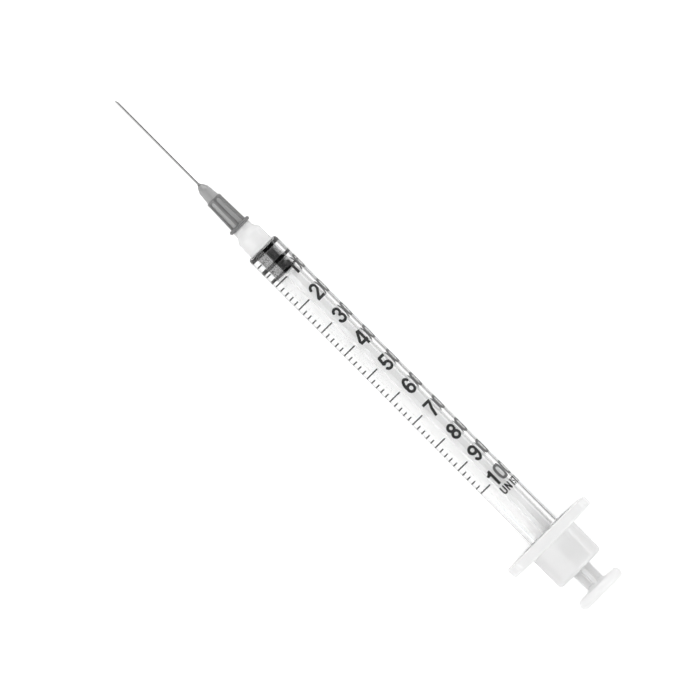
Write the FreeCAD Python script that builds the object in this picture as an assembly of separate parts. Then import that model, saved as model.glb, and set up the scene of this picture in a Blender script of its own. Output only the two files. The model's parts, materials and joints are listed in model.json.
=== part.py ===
import FreeCAD, Part

import math
import os

# One-millilitre syringe with a fixed needle, lying on its side.
# All pieces are turned about the X axis, in millimetres. The needle points along -X, the thumb
# disc along +X, and the printed scale faces +Z. The origin is on the axis at the zero line.

Vector = FreeCAD.Vector
ORIGIN = Vector(0, 0, 0)
X_AXIS = Vector(1, 0, 0)
Y_AXIS = Vector(0, 1, 0)
Z_AXIS = Vector(0, 0, 1)
FULL_TURN = 360.0
QUARTER_TURN = 90.0
ROUND_STEPS = 3

# Dose and scale
dose_volume = 1000.0
scale_length = 57.0
scale_units = 100
units_per_mark = 2
units_per_long_mark = 10

# Clearances
seal_clearance = 0.03
turning_clearance = 0.04
stop_gap = 0.04
bond_gap = 0.015
ink_gap = 0.006

# Barrel tube and its closed front wall
barrel_wall = 0.9
front_wall = 0.58
shoulder_ledge = 0.04

# Nose in front of the barrel, and the tip inside the needle hub
nose_step = 0.745
nose_length = 3.0
nose_cone_length = 1.0
neck_radius = 1.8
neck_length = 1.04
tip_base_radius = 1.0
tip_front_radius = 0.86
tip_length = 5.4
tip_chamfer = 0.12

# Fluid channel
nipple_room_radius = 0.55
nipple_room_length = 1.95
channel_radius = 0.32

# Finger flange
flange_front = 69.68
flange_root_thickness = 2.34
flange_end_thickness = 2.0
flange_span = 18.9
flange_width = 10.6
flange_corner_round = 1.6
flange_edge_chamfer = 0.34
flange_root_chamfer = 0.25

# Collar behind the flange, with a ring-shaped hollow round the end of the tube
collar_radius = 5.0
collar_length = 6.9
collar_wall = 1.05
collar_floor = 0.9
collar_edge_round = 0.8
collar_lip_chamfer = 0.2
tube_end_setback = 0.5
bore_lead_in = 0.3

# Bead in the bore that keeps the stopper from being pulled out
bead_height = 0.12
bead_length = 0.9

# Stopper
stopper_front_land = 0.51
stopper_length = 5.66
stopper_rib_width = 0.66
stopper_rib_height = 0.3
stopper_rib_chamfer = 0.12
middle_rib_place = 3.14
nipple_length = 1.65
nipple_gap = 0.08
nipple_chamfer = 0.22

# Plunger rod
vane_count = 4
vane_gap = 0.47
vane_thickness = 0.8
vane_root_round = 0.25
vane_turn = -6.0
pusher_gap = 0.26
pusher_thickness = 0.6
pusher_chamfer = 0.12
rod_neck_radius = 0.75
rod_neck_length = 1.1
rod_head_radius = 1.2
rod_head_length = 1.7
rod_head_tip_radius = 0.5

# Thumb disc
thumb_disc_front = 82.78
thumb_disc_radius = 4.82
thumb_disc_thickness = 2.0
thumb_disc_round = 0.9
thumb_root_length = 0.5
thumb_root_flare = 0.5

# Needle hub
hub_length = 10.29
hub_ring_radius = 2.27
hub_ring_thickness = 0.72
hub_ring_chamfer = 0.22
hub_grip_length = 6.23
hub_grip_back_radius = 1.71
hub_grip_front_radius = 1.53
hub_step_chamfer = 0.12
hub_spout_back_radius = 1.27
hub_spout_front_radius = 1.04
hub_nose_length = 0.95
hub_nose_front_radius = 0.54
hub_ribs = 6
hub_rib_width = 0.74
hub_pocket_depth = 0.32
hub_pocket_end_wall = 0.42
hub_rib_turn = -4.0
hub_socket_end_gap = 0.3
adhesive_well_radius = 0.42
adhesive_well_depth = 1.3
adhesive_bead_height = 0.4

# Cannula
cannula_radius = 0.205
cannula_wall = 0.1
cannula_reach = 21.45
bevel_angle = 18.0
lancet_angle = 24.0
lancet_turn = 38.0
lancet_setback = 0.08
bevel_turn = -60.0

# Printed marks of the scale, as angles from the top of the barrel
mark_width = 0.27
ink_thickness = 0.03
mark_start_angle = -68.0
short_mark_end_angle = -39.5
long_mark_end_angle = -5.5
print_twist = -0.19

# Radii that follow from the sizes above
bore_radius = math.sqrt(dose_volume / (math.pi * scale_length))
barrel_radius = bore_radius + barrel_wall
nose_radius = barrel_radius - nose_step
shoulder_round = nose_step - shoulder_ledge
seal_radius = bore_radius - seal_clearance
nipple_radius = nipple_room_radius - nipple_gap
vane_radius = bore_radius - vane_gap
pusher_radius = bore_radius - pusher_gap
collar_hollow_radius = collar_radius - collar_wall
cannula_bore_radius = cannula_radius - cannula_wall

# Places along the axis that follow from the sizes above
stopper_front = -stopper_front_land
stopper_back = stopper_front + stopper_length
chamber_front = stopper_front - stop_gap
barrel_front = chamber_front - front_wall
nose_front = barrel_front - nose_length
cone_front = nose_front - nose_cone_length
neck_front = cone_front - neck_length
tip_front = neck_front - tip_length
nipple_room_front = chamber_front - nipple_room_length
flange_back = flange_front + flange_root_thickness
collar_back = flange_back + collar_length
tube_back = collar_back - tube_end_setback
bead_back = flange_back - (flange_root_thickness - bead_length) / 2
bead_front = bead_back - bead_length
hub_base = neck_front - bond_gap
hub_ring_front = hub_base - hub_ring_thickness
hub_grip_front = hub_ring_front - hub_grip_length
hub_front = hub_base - hub_length
hub_socket_front = tip_front - hub_socket_end_gap
cannula_tip = hub_front - cannula_reach
cannula_back = hub_socket_front
pusher_front = stopper_back + turning_clearance
pusher_back = pusher_front + pusher_thickness
rod_head_back = pusher_front - rod_neck_length
rod_head_front = rod_head_back - rod_head_length
thumb_disc_back = thumb_disc_front + thumb_disc_thickness
plunger_travel = bead_front - stopper_back - stop_gap


def turned(outline):
    """Solid swept by a closed outline of (x, radius) points about the X axis."""
    points = [Vector(x, radius, 0) for x, radius in outline]
    wire = Part.makePolygon(points + points[:1])
    return Part.Face(wire).revolve(ORIGIN, X_AXIS, FULL_TURN)


def cylinder(start, end, radius):
    """Cylinder on the X axis from x = start to x = end."""
    return Part.makeCylinder(radius, end - start, Vector(start, 0, 0), X_AXIS)


def turned_by(shape, degrees):
    """Copy of a shape turned about the X axis."""
    copy = shape.copy()
    copy.rotate(ORIGIN, X_AXIS, degrees)
    return copy


def quarter_round(centre_place, centre_radius, rounding, start_angle):
    """Points of a rounded corner in an outline, from one angle through a quarter turn back."""
    points = []
    for step in range(ROUND_STEPS + 1):
        angle = math.radians(start_angle - QUARTER_TURN * step / ROUND_STEPS)
        place = centre_place + rounding * math.cos(angle)
        points.append((place, centre_radius + rounding * math.sin(angle)))
    return points


def front_round(place, radius, rounding):
    """Points of the rounded outer corner at the -X end of a turned shape."""
    return quarter_round(place + rounding, radius - rounding, rounding, 2 * QUARTER_TURN)


def back_round(place, radius, rounding):
    """Points of the rounded outer corner at the +X end of a turned shape."""
    return quarter_round(place - rounding, radius - rounding, rounding, QUARTER_TURN)


def make_flange():
    """Finger flange: a disc with two flats, thinner towards its ends, with chamfered edges."""
    half_span = flange_span / 2
    thinning = (flange_root_thickness - flange_end_thickness) / 2
    side = [
        Vector(flange_front + thinning, -half_span, 0),
        Vector(flange_front, -collar_radius, 0),
        Vector(flange_front, collar_radius, 0),
        Vector(flange_front + thinning, half_span, 0),
        Vector(flange_back - thinning, half_span, 0),
        Vector(flange_back, collar_radius, 0),
        Vector(flange_back, -collar_radius, 0),
        Vector(flange_back - thinning, -half_span, 0),
    ]
    slab = Part.Face(Part.makePolygon(side + side[:1])).extrude(Z_AXIS * flange_width)
    slab.translate(Z_AXIS * (-flange_width / 2))
    plate = cylinder(flange_front, flange_back, half_span).common(slab)
    corners = [edge for edge in plate.Edges if is_flange_corner(edge)]
    plate = plate.makeFillet(flange_corner_round, corners)
    rims = [edge for edge in plate.Edges if is_flange_rim(edge)]
    return plate.makeChamfer(flange_edge_chamfer, rims)


def is_flange_corner(edge):
    """Says whether an edge runs along X where a flat meets a round end."""
    box = edge.BoundBox
    tolerance = 1e-6
    return box.YLength < tolerance and box.ZLength < tolerance


def is_flange_rim(edge):
    """Says whether an edge is part of the outline of the flange's front or back face."""
    box = edge.BoundBox
    tolerance = 1e-6
    middle = (flange_front + flange_back) / 2
    is_crease = box.YLength < tolerance
    is_on_one_side = box.XMax < middle or box.XMin > middle
    return is_on_one_side and not is_crease


def make_barrel():
    """Barrel: tip, nose, tube, finger flange and collar, moulded as one piece."""
    wall_middle = barrel_radius - barrel_wall / 2
    tube = turned([
        (tip_front, channel_radius),
        (tip_front, tip_front_radius - tip_chamfer),
        (tip_front + tip_chamfer, tip_front_radius),
        (neck_front, tip_base_radius),
        (neck_front, neck_radius),
        (cone_front, neck_radius),
        (nose_front, nose_radius),
        (barrel_front, nose_radius),
        *front_round(barrel_front, barrel_radius, shoulder_round),
        (flange_front - flange_root_chamfer, barrel_radius),
        (flange_front, barrel_radius + flange_root_chamfer),
        (flange_back, barrel_radius + flange_root_chamfer),
        (flange_back, barrel_radius),
        (tube_back, barrel_radius),
        (tube_back, bore_radius + bore_lead_in),
        (tube_back - bore_lead_in, bore_radius),
        (bead_back, bore_radius),
        ((bead_front + bead_back) / 2, bore_radius - bead_height),
        (bead_front, bore_radius),
        (chamber_front, bore_radius),
        (chamber_front, nipple_room_radius),
        (nipple_room_front, nipple_room_radius),
        (nipple_room_front, channel_radius),
    ])
    collar = turned([
        (flange_back - collar_floor, wall_middle),
        (flange_back - collar_floor, collar_radius),
        *back_round(collar_back, collar_radius, collar_edge_round),
        (collar_back, collar_hollow_radius + collar_lip_chamfer),
        (collar_back - collar_lip_chamfer, collar_hollow_radius),
        (flange_back + collar_floor, collar_hollow_radius),
        (flange_back + collar_floor, wall_middle),
    ])
    flange = make_flange().cut(cylinder(flange_front, flange_back, wall_middle))
    return tube.fuse([flange, collar]).removeSplitter()


def make_scale_mark(units):
    """One printed mark: a thin bar of ink round part of the barrel, at its place on the scale."""
    place = units * scale_length / scale_units
    is_long = units % units_per_long_mark == 0
    end_angle = long_mark_end_angle if is_long else short_mark_end_angle
    ink_bottom = barrel_radius + ink_gap
    section = [
        Vector(place - mark_width / 2, 0, ink_bottom),
        Vector(place + mark_width / 2, 0, ink_bottom),
        Vector(place + mark_width / 2, 0, ink_bottom + ink_thickness),
        Vector(place - mark_width / 2, 0, ink_bottom + ink_thickness),
    ]
    face = Part.Face(Part.makePolygon(section + section[:1]))
    bar = face.revolve(ORIGIN, X_AXIS, mark_start_angle - end_angle)
    return turned_by(bar, -mark_start_angle - print_twist * place)


def make_scale_marks():
    """Every printed mark from zero to the full dose, as separate bars."""
    marks = range(0, scale_units + 1, units_per_mark)
    return Part.makeCompound([make_scale_mark(units) for units in marks])


def make_stopper():
    """Rubber stopper: nipple, three sealing ribs and a socket for the rod's head."""
    groove_radius = seal_radius - stopper_rib_height
    nipple_front = stopper_front - nipple_length
    middle_front = stopper_front + middle_rib_place - stopper_rib_width / 2
    outline = [
        (nipple_front, 0),
        (nipple_front, nipple_radius - nipple_chamfer),
        (nipple_front + nipple_chamfer, nipple_radius),
        (stopper_front, nipple_radius),
    ]
    for rib_front in (stopper_front, middle_front, stopper_back - stopper_rib_width):
        rib_back = rib_front + stopper_rib_width
        outline += [
            (rib_front, groove_radius),
            (rib_front, seal_radius - stopper_rib_chamfer),
            (rib_front + stopper_rib_chamfer, seal_radius),
            (rib_back - stopper_rib_chamfer, seal_radius),
            (rib_back, seal_radius - stopper_rib_chamfer),
            (rib_back, groove_radius),
        ]
    neck_room = rod_neck_radius + turning_clearance
    head_room = rod_head_radius + turning_clearance
    tip_room = rod_head_tip_radius + turning_clearance
    outline += [
        (stopper_back, neck_room),
        (rod_head_back + turning_clearance, neck_room),
        (rod_head_back + turning_clearance, head_room),
        (rod_head_front - turning_clearance, tip_room),
        (rod_head_front - turning_clearance, 0),
    ]
    return turned(outline)


def make_vanes():
    """Cross-shaped shaft of the plunger rod, with rounded inner corners."""
    length = thumb_disc_front - pusher_back
    half = vane_thickness / 2
    inner = half + vane_root_round
    cross = cylinder(pusher_back, thumb_disc_front, half)
    for number in range(vane_count // 2):
        box = Part.makeBox(
            length, 2 * vane_radius, vane_thickness,
            Vector(pusher_back, -vane_radius, -half),
        )
        cross = cross.fuse(turned_by(box, number * FULL_TURN / vane_count))
    corner = Part.makeBox(length, vane_root_round, vane_root_round, Vector(pusher_back, half, half))
    hollow = Part.makeCylinder(vane_root_round, length, Vector(pusher_back, inner, inner), X_AXIS)
    root = corner.cut(hollow)
    for number in range(vane_count):
        cross = cross.fuse(turned_by(root, number * FULL_TURN / vane_count))
    cross = cross.common(cylinder(pusher_back, thumb_disc_front, vane_radius))
    return turned_by(cross.removeSplitter(), vane_turn)


def make_plunger_rod():
    """Plunger rod: snap head, pusher, vanes and thumb disc, moulded as one piece."""
    head = turned([
        (rod_head_front, 0),
        (rod_head_front, rod_head_tip_radius),
        (rod_head_back, rod_head_radius),
        (rod_head_back, rod_neck_radius),
        (pusher_front, rod_neck_radius),
        (pusher_front, pusher_radius - pusher_chamfer),
        (pusher_front + pusher_chamfer, pusher_radius),
        (pusher_back - pusher_chamfer, pusher_radius),
        (pusher_back, pusher_radius - pusher_chamfer),
        (pusher_back, 0),
    ])
    disc = turned([
        (thumb_disc_front - thumb_root_length, 0),
        (thumb_disc_front - thumb_root_length, vane_radius),
        (thumb_disc_front, vane_radius + thumb_root_flare),
        *front_round(thumb_disc_front, thumb_disc_radius, thumb_disc_round),
        *back_round(thumb_disc_back, thumb_disc_radius, thumb_disc_round),
        (thumb_disc_back, 0),
    ])
    return head.fuse([make_vanes(), disc]).removeSplitter()


def make_hub_pocket():
    """Solid that cuts one long pocket with a round front end between two ribs of the hub."""
    slope = math.degrees(math.atan((hub_grip_back_radius - hub_grip_front_radius) / hub_grip_length))
    middle_radius = (hub_grip_back_radius + hub_grip_front_radius) / 2
    width = 2 * math.pi * middle_radius / hub_ribs - hub_rib_width
    floor = hub_grip_back_radius - hub_pocket_depth
    height = hub_ring_radius
    round_centre = hub_grip_front + hub_pocket_end_wall + width / 2
    box = Part.makeBox(
        hub_ring_front - round_centre, width, height,
        Vector(round_centre, -width / 2, floor),
    )
    front_end = Part.makeCylinder(width / 2, height, Vector(round_centre, 0, floor), Z_AXIS)
    pocket = box.fuse(front_end)
    pocket.rotate(Vector(hub_ring_front, 0, floor), Y_AXIS, -slope)
    return pocket


def make_needle_hub():
    """Needle hub: base ring, ribbed grip, spout, tapered socket and adhesive well."""
    cannula_room = cannula_radius + bond_gap
    well_back = hub_front + adhesive_well_depth
    hub = turned([
        (hub_base, tip_base_radius + bond_gap),
        (hub_base, hub_ring_radius - hub_ring_chamfer),
        (hub_base - hub_ring_chamfer, hub_ring_radius),
        (hub_ring_front + hub_ring_chamfer, hub_ring_radius),
        (hub_ring_front, hub_ring_radius - hub_ring_chamfer),
        (hub_ring_front, hub_grip_back_radius),
        (hub_grip_front + hub_step_chamfer, hub_grip_front_radius),
        (hub_grip_front, hub_grip_front_radius - hub_step_chamfer),
        (hub_grip_front, hub_spout_back_radius),
        (hub_front + hub_nose_length, hub_spout_front_radius),
        (hub_front, hub_nose_front_radius),
        (hub_front, adhesive_well_radius),
        (well_back, adhesive_well_radius),
        (well_back, cannula_room),
        (hub_socket_front, cannula_room),
        (hub_socket_front, tip_front_radius + bond_gap),
        (tip_front, tip_front_radius + bond_gap),
    ])
    pocket = make_hub_pocket()
    for number in range(hub_ribs):
        half_pitch = FULL_TURN / hub_ribs / 2
        hub = hub.cut(turned_by(pocket, half_pitch - hub_rib_turn + number * 2 * half_pitch))
    return hub


def make_glue_bead():
    """Adhesive that fills the hub's well and climbs the cannula in a small cone."""
    inner = cannula_radius + bond_gap
    outer = adhesive_well_radius - bond_gap
    return turned([
        (hub_front + adhesive_well_depth - bond_gap, inner),
        (hub_front + adhesive_well_depth - bond_gap, outer),
        (hub_front, outer),
        (hub_front - adhesive_bead_height, inner + bond_gap),
        (hub_front - adhesive_bead_height, inner),
    ])


def make_grinding_block(slope, bottom_place, turn):
    """Block above a plane that crosses the cannula's lowest line at one place and falls to -X."""
    size = cannula_reach
    drop = cannula_radius * math.cos(math.radians(turn))
    block = Part.makeBox(2 * size, size, size, Vector(-size, -size / 2, 0))
    block.rotate(ORIGIN, Y_AXIS, -slope)
    block.translate(Vector(bottom_place, 0, -drop))
    return turned_by(block, turn)


def make_cannula():
    """Steel tube with a bevelled point and two lancet facets."""
    tube = cylinder(cannula_tip, cannula_back, cannula_radius)
    tube = tube.cut(cylinder(cannula_tip, cannula_back, cannula_bore_radius))
    tube = tube.cut(make_grinding_block(bevel_angle, cannula_tip - lancet_setback, 0))
    for turn in (-lancet_turn, lancet_turn):
        tube = tube.cut(make_grinding_block(lancet_angle, cannula_tip, turn))
    return turned_by(tube, bevel_turn)


pieces = {
    "cannula": make_cannula(),
    "glue_bead": make_glue_bead(),
    "needle_hub": make_needle_hub(),
    "barrel": make_barrel(),
    "scale_marks": make_scale_marks(),
    "stopper": make_stopper(),
    "plunger_rod": make_plunger_rod(),
}

os.makedirs("parts", exist_ok=True)
for name, shape in pieces.items():
    shape.exportStep("parts/" + name + ".step")
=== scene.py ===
"""Looks of a one-millilitre graduated syringe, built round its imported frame.

The needle points along -X, the thumb disc along +X and the printed scale faces +Z. Lengths are
in metres, and the origin is on the syringe's axis at the zero line of the scale.
"""

import json
import logging
import math
from dataclasses import dataclass, field
from enum import Enum
from functools import cached_property
from typing import Any, Callable, ClassVar, Optional, Sequence, Union

import bmesh
import bpy
import numpy as np
from mathutils import Matrix, Vector


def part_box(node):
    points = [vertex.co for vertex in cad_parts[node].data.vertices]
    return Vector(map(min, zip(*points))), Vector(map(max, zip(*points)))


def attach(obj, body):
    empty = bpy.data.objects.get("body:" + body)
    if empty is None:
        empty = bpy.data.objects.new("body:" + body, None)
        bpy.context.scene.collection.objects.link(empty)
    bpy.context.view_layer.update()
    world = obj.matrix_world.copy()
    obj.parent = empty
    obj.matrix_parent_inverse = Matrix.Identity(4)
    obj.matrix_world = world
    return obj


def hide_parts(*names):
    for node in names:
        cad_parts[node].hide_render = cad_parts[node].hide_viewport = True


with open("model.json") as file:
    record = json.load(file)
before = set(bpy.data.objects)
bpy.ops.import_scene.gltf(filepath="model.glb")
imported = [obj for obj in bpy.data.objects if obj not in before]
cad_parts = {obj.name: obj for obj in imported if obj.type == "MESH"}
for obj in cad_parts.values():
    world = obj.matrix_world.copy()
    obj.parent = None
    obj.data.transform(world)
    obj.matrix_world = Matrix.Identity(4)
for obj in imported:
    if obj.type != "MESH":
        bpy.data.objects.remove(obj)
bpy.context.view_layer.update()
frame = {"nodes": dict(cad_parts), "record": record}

MM = 0.001
SHARP_ANGLE = math.radians(35.0)
MERGE_DISTANCE = 1e-7
SLIVER_LENGTH = 1e-8
GLYPH_WIDTH = 0.6
ARC_POINTS = 33
FAR_AWAY = 1e9
log = logging.getLogger("syringe")

Piece = bpy.types.Object
Material = bpy.types.Material
Key = Union[int, str]
Value = Union["Wire", float]
Point2 = tuple[float, float]
Triple = tuple[float, float, float]


class Ray(Enum):
    """Kinds of ray that a shader can tell apart."""

    CAMERA = "Is Camera Ray"
    GLOSSY = "Is Glossy Ray"
    SHADOW = "Is Shadow Ray"
    TRANSMISSION = "Is Transmission Ray"


class Join(Enum):
    """Ways to combine two solids."""

    UNION = "UNION"
    DIFFERENCE = "DIFFERENCE"


class Wire:
    """One value in a shader graph; its operators add Math nodes."""

    def __init__(self, graph: "Graph", socket: bpy.types.NodeSocket) -> None:
        """Keeps the graph and the output socket that carries the value."""
        self.graph = graph
        self.socket = socket

    def __add__(self, other: Value) -> "Wire":
        """Sum of this value and another."""
        return self.graph.math("ADD", self, other)

    def __radd__(self, other: float) -> "Wire":
        """Sum of a number and this value."""
        return self.graph.math("ADD", other, self)

    def __sub__(self, other: Value) -> "Wire":
        """This value less another."""
        return self.graph.math("SUBTRACT", self, other)

    def __rsub__(self, other: float) -> "Wire":
        """A number less this value."""
        return self.graph.math("SUBTRACT", other, self)

    def __mul__(self, other: Value) -> "Wire":
        """Product of this value and another."""
        return self.graph.math("MULTIPLY", self, other)

    def __rmul__(self, other: float) -> "Wire":
        """Product of a number and this value."""
        return self.graph.math("MULTIPLY", other, self)

    def smooth_step(self, low: float, high: float) -> "Wire":
        """Smooth rise from 0, where this value is low, to 1, where it is high."""
        inputs = {0: self, 1: low, 2: high}
        return self.graph.node("ShaderNodeMapRange", inputs, interpolation_type="SMOOTHSTEP")


@dataclass(frozen=True)
class Grain:
    """Noise fixed to a piece, with its depth in metres where it is a relief.

    Its scale is in features for each metre, detail is its octaves, and stretch is factors on
    the three axes.
    """

    scale: float
    detail: float
    stretch: Triple = (1.0, 1.0, 1.0)
    depth: float = 0.0


class Graph:
    """The node tree of one material or world."""

    def __init__(self, tree: bpy.types.NodeTree) -> None:
        """Empties a node tree and keeps it."""
        self.tree = tree
        self.tree.nodes.clear()

    def node(self, kind: str, inputs: Optional[dict[Key, Any]] = None, output: Key = 0,
             **settings: Any) -> Wire:
        """Adds one node.

        Args:
            kind: The node's type.
            inputs: Values or wires for its input sockets, by name or number.
            output: The output socket to return.
            **settings: Its properties, set before its inputs.

        Returns:
            The chosen output.
        """
        made = self.tree.nodes.new(kind)
        for name, value in settings.items():
            setattr(made, name, value)
        for key, value in (inputs or {}).items():
            if isinstance(value, Wire):
                self.tree.links.new(value.socket, made.inputs[key])
            else:
                made.inputs[key].default_value = value
        return Wire(self, made.outputs[output])

    def math(self, operation: str, *values: Value) -> Wire:
        """Adds a Math node with these values in order."""
        return self.node("ShaderNodeMath", dict(enumerate(values)), operation=operation)

    def ray(self, kind: Ray) -> Wire:
        """1 for rays of one kind and 0 for others."""
        return self.node("ShaderNodeLightPath", output=kind.value)

    def split(self, vector: Wire) -> list[Wire]:
        """X, Y and Z of a vector."""
        outputs = self.node("ShaderNodeSeparateXYZ", {0: vector}).socket.node.outputs
        return [Wire(self, output) for output in outputs]

    def place(self) -> Wire:
        """Place on the piece at rest, as a vector."""
        return self.node("ShaderNodeTexCoord", output="Object")

    def off_axis(self) -> Wire:
        """Distance from the syringe's axis."""
        side, up = self.split(self.place())[1:]
        return self.math("SQRT", side * side + up * up)

    def noise(self, grain: Grain) -> Wire:
        """Noise about 0.5.

        Args:
            grain: Its size and shape.

        Returns:
            The noise.
        """
        factors = {0: self.place(), 1: grain.stretch}
        vector = self.node("ShaderNodeVectorMath", factors, operation="MULTIPLY")
        inputs = {"Vector": vector, "Scale": grain.scale, "Detail": grain.detail}
        return self.node("ShaderNodeTexNoise", inputs)

    def bump(self, relief: Grain) -> Wire:
        """Normal of a surface with this relief."""
        inputs = {"Strength": 1.0, "Distance": relief.depth, "Height": self.noise(relief)}
        return self.node("ShaderNodeBump", inputs)

    def blend(self, factor: Value, first: Any, second: Any) -> Wire:
        """Colour between the first, at factor 0, and the second, at factor 1."""
        inputs = {0: factor, 6: first, 7: second}
        return self.node("ShaderNodeMix", inputs, output=2, data_type="RGBA")

    def principled(self, inputs: dict[Key, Any]) -> Wire:
        """Principled shader with these values and links."""
        return self.node("ShaderNodeBsdfPrincipled", inputs)

    def mix(self, factor: Value, first: Wire, second: Wire) -> Wire:
        """Shader between the first, at factor 0, and the second, at factor 1."""
        return self.node("ShaderNodeMixShader", {0: factor, 1: first, 2: second})

    def finish(self, shader: Wire, kind: str = "ShaderNodeOutputMaterial") -> None:
        """Joins a shader to a new output node of the tree."""
        self.tree.links.new(shader.socket, self.tree.nodes.new(kind).inputs["Surface"])


def grey(level: float) -> tuple[float, float, float, float]:
    """A grey as a shader colour."""
    return (level, level, level, 1.0)


def new_material(name: str) -> tuple[Material, Graph]:
    """Makes an empty node material.

    Args:
        name: Its name.

    Returns:
        The material and its graph.
    """
    material = bpy.data.materials.new(name)
    material.use_nodes = True
    return material, Graph(material.node_tree)


@dataclass(frozen=True, kw_only=True)
class Finish:
    """Surface whose grey and roughness follow a noise.

    The factors in spread and the two values of roughness are those where the noise is 0 and 1.
    """

    name: str
    level: float
    spread: Point2
    cloud: Grain
    roughness: Point2
    relief: Optional[Grain] = None
    fixed: ClassVar[dict[str, Any]] = {}

    def sockets(self, graph: Graph) -> dict[str, Any]:
        """Values and links of the main shader.

        Args:
            graph: The material's graph.

        Returns:
            One for each socket that is set.
        """
        cloud = graph.noise(self.cloud)
        low, high = self.roughness
        made = {
            "Base Color": graph.blend(cloud, *(grey(self.level * share) for share in self.spread)),
            "Roughness": low if low == high else cloud * (high - low) + low,
        }
        if self.relief:
            made["Normal"] = graph.bump(self.relief)
        return made | self.fixed

    def shader(self, graph: Graph) -> Wire:
        """Shader of the whole surface."""
        return graph.principled(self.sockets(graph))

    def build(self) -> Material:
        """Makes the material.

        Returns:
            The new material.
        """
        material, graph = new_material(self.name)
        graph.finish(self.shader(graph))
        return material


@dataclass(frozen=True, kw_only=True)
class BarrelPlastic(Finish):
    """Clear plastic that turns milky where the moulding is thick."""

    clear_start: float
    clear_end: float
    blend_length: float = 0.3 * MM
    clear_level: float = 0.98
    clear_roughness: float = 0.03
    shadow_clearness: float = 0.9
    name: str = "barrel_plastic"
    level: float = 0.9
    spread: Point2 = (0.9667, 1.0333)
    cloud: Grain = Grain(420.0, 3.0)
    roughness: Point2 = (0.22, 0.22)
    relief: Grain = Grain(700.0, 2.0, (0.15, 1.0, 1.0), depth=0.0012 * MM)
    fixed: ClassVar[dict[str, Any]] = {
        "IOR": 1.49,
        "Transmission Weight": 0.1,
        "Subsurface Weight": 0.8,
        "Subsurface Radius": (1.0, 1.0, 1.0),
        "Subsurface Scale": 2.0 * MM,
    }

    def shader(self, graph: Graph) -> Wire:
        """Clear plastic between two milky stretches.

        Args:
            graph: The material's graph.

        Returns:
            The mixed shader.
        """
        sockets = self.sockets(graph)
        clear = graph.principled({
            "Base Color": grey(self.clear_level),
            "Roughness": self.clear_roughness,
            "IOR": sockets["IOR"],
            "Transmission Weight": 1.0,
            "Normal": sockets["Normal"],
        })
        unshaded = graph.node("ShaderNodeBsdfTransparent")
        clear = graph.mix(graph.ray(Ray.SHADOW) * self.shadow_clearness, clear, unshaded)
        along = graph.split(graph.place())[0]
        after_start = along.smooth_step(self.clear_start - self.blend_length, self.clear_start)
        after_end = along.smooth_step(self.clear_end, self.clear_end + self.blend_length)
        milkiness = 1.0 - after_start * (1.0 - after_end)
        return graph.mix(milkiness, clear, graph.principled(sockets))


@dataclass(frozen=True, kw_only=True)
class HubPlastic(Finish):
    """Translucent grey plastic of the needle hub, paler in its pockets and on its spout.

    It starts to look thin, and looks thinnest, at the two shares of a pocket's depth in
    thin_range.
    """

    grip_front: float
    grip_front_radius: float
    grip_slope: float
    pocket_depth: float
    thin_range: Point2 = (0.25, 0.9)
    thin_level: float = 0.56
    spout_level: float = 0.5
    spout_blend: float = 0.25 * MM
    name: str = "hub_plastic"
    level: float = 0.24
    spread: Point2 = (0.9, 1.1)
    cloud: Grain = Grain(900.0, 3.0)
    roughness: Point2 = (0.22, 0.22)
    relief: Grain = Grain(1500.0, 2.0, depth=0.002 * MM)
    fixed: ClassVar[dict[str, Any]] = {"IOR": 1.5, "Transmission Weight": 0.45}

    def sockets(self, graph: Graph) -> dict[str, Any]:
        """Values and links of the shader.

        Args:
            graph: The material's graph.

        Returns:
            One for each socket that is set.
        """
        made = super().sockets(graph)
        along = graph.split(graph.place())[0]
        outer = (along - self.grip_front) * self.grip_slope + self.grip_front_radius
        start, end = (share * self.pocket_depth for share in self.thin_range)
        thinness = (outer - graph.off_axis()).smooth_step(start, end)
        spout = 1.0 - along.smooth_step(self.grip_front - self.spout_blend, self.grip_front)
        colour = graph.blend(thinness, made["Base Color"], grey(self.thin_level))
        made["Base Color"] = graph.blend(spout, colour, grey(self.spout_level))
        return made


@dataclass(frozen=True, kw_only=True)
class NeedleSteel(Finish):
    """Drawn stainless tube with fine lines along it."""

    name: str = "needle_steel_looks"
    level: float = 0.25
    spread: Point2 = (0.9, 1.1)
    cloud: Grain = Grain(9000.0, 2.0, (0.05, 1.0, 1.0))
    roughness: Point2 = (0.16, 0.28)
    fixed: ClassVar[dict[str, Any]] = {"Metallic": 1.0}


@dataclass(frozen=True, kw_only=True)
class Adhesive(Finish):
    """Cured adhesive, dark where the well shades it."""

    name: str = "adhesive_looks"
    level: float = 0.12
    spread: Point2 = (0.8, 1.3)
    cloud: Grain = Grain(3000.0, 2.0)
    roughness: Point2 = (0.18, 0.18)
    fixed: ClassVar[dict[str, Any]] = {"Coat Weight": 0.6}


@dataclass(frozen=True, kw_only=True)
class StopperRubber(Finish):
    """Dark rubber, glossy with silicone oil except where it presses on the barrel."""

    contact_radius: float
    contact_blend: float = 0.03 * MM
    contact_level: float = 0.002
    name: str = "stopper_rubber_looks"
    level: float = 0.04
    spread: Point2 = (0.7, 1.5)
    cloud: Grain = Grain(1600.0, 4.0)
    roughness: Point2 = (0.23, 0.38)
    relief: Grain = Grain(6000.0, 2.0, depth=0.0002 * MM)
    fixed: ClassVar[dict[str, Any]] = {"Specular IOR Level": 0.02, "Coat Roughness": 0.08}

    def sockets(self, graph: Graph) -> dict[str, Any]:
        """Values and links of the shader.

        Args:
            graph: The material's graph.

        Returns:
            One for each socket that is set.
        """
        made = super().sockets(graph)
        start = self.contact_radius - self.contact_blend
        contact = graph.off_axis().smooth_step(start, self.contact_radius)
        made["Base Color"] = graph.blend(contact, made["Base Color"], grey(self.contact_level))
        made["Coat Weight"] = 1.0 - contact
        return made


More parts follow.
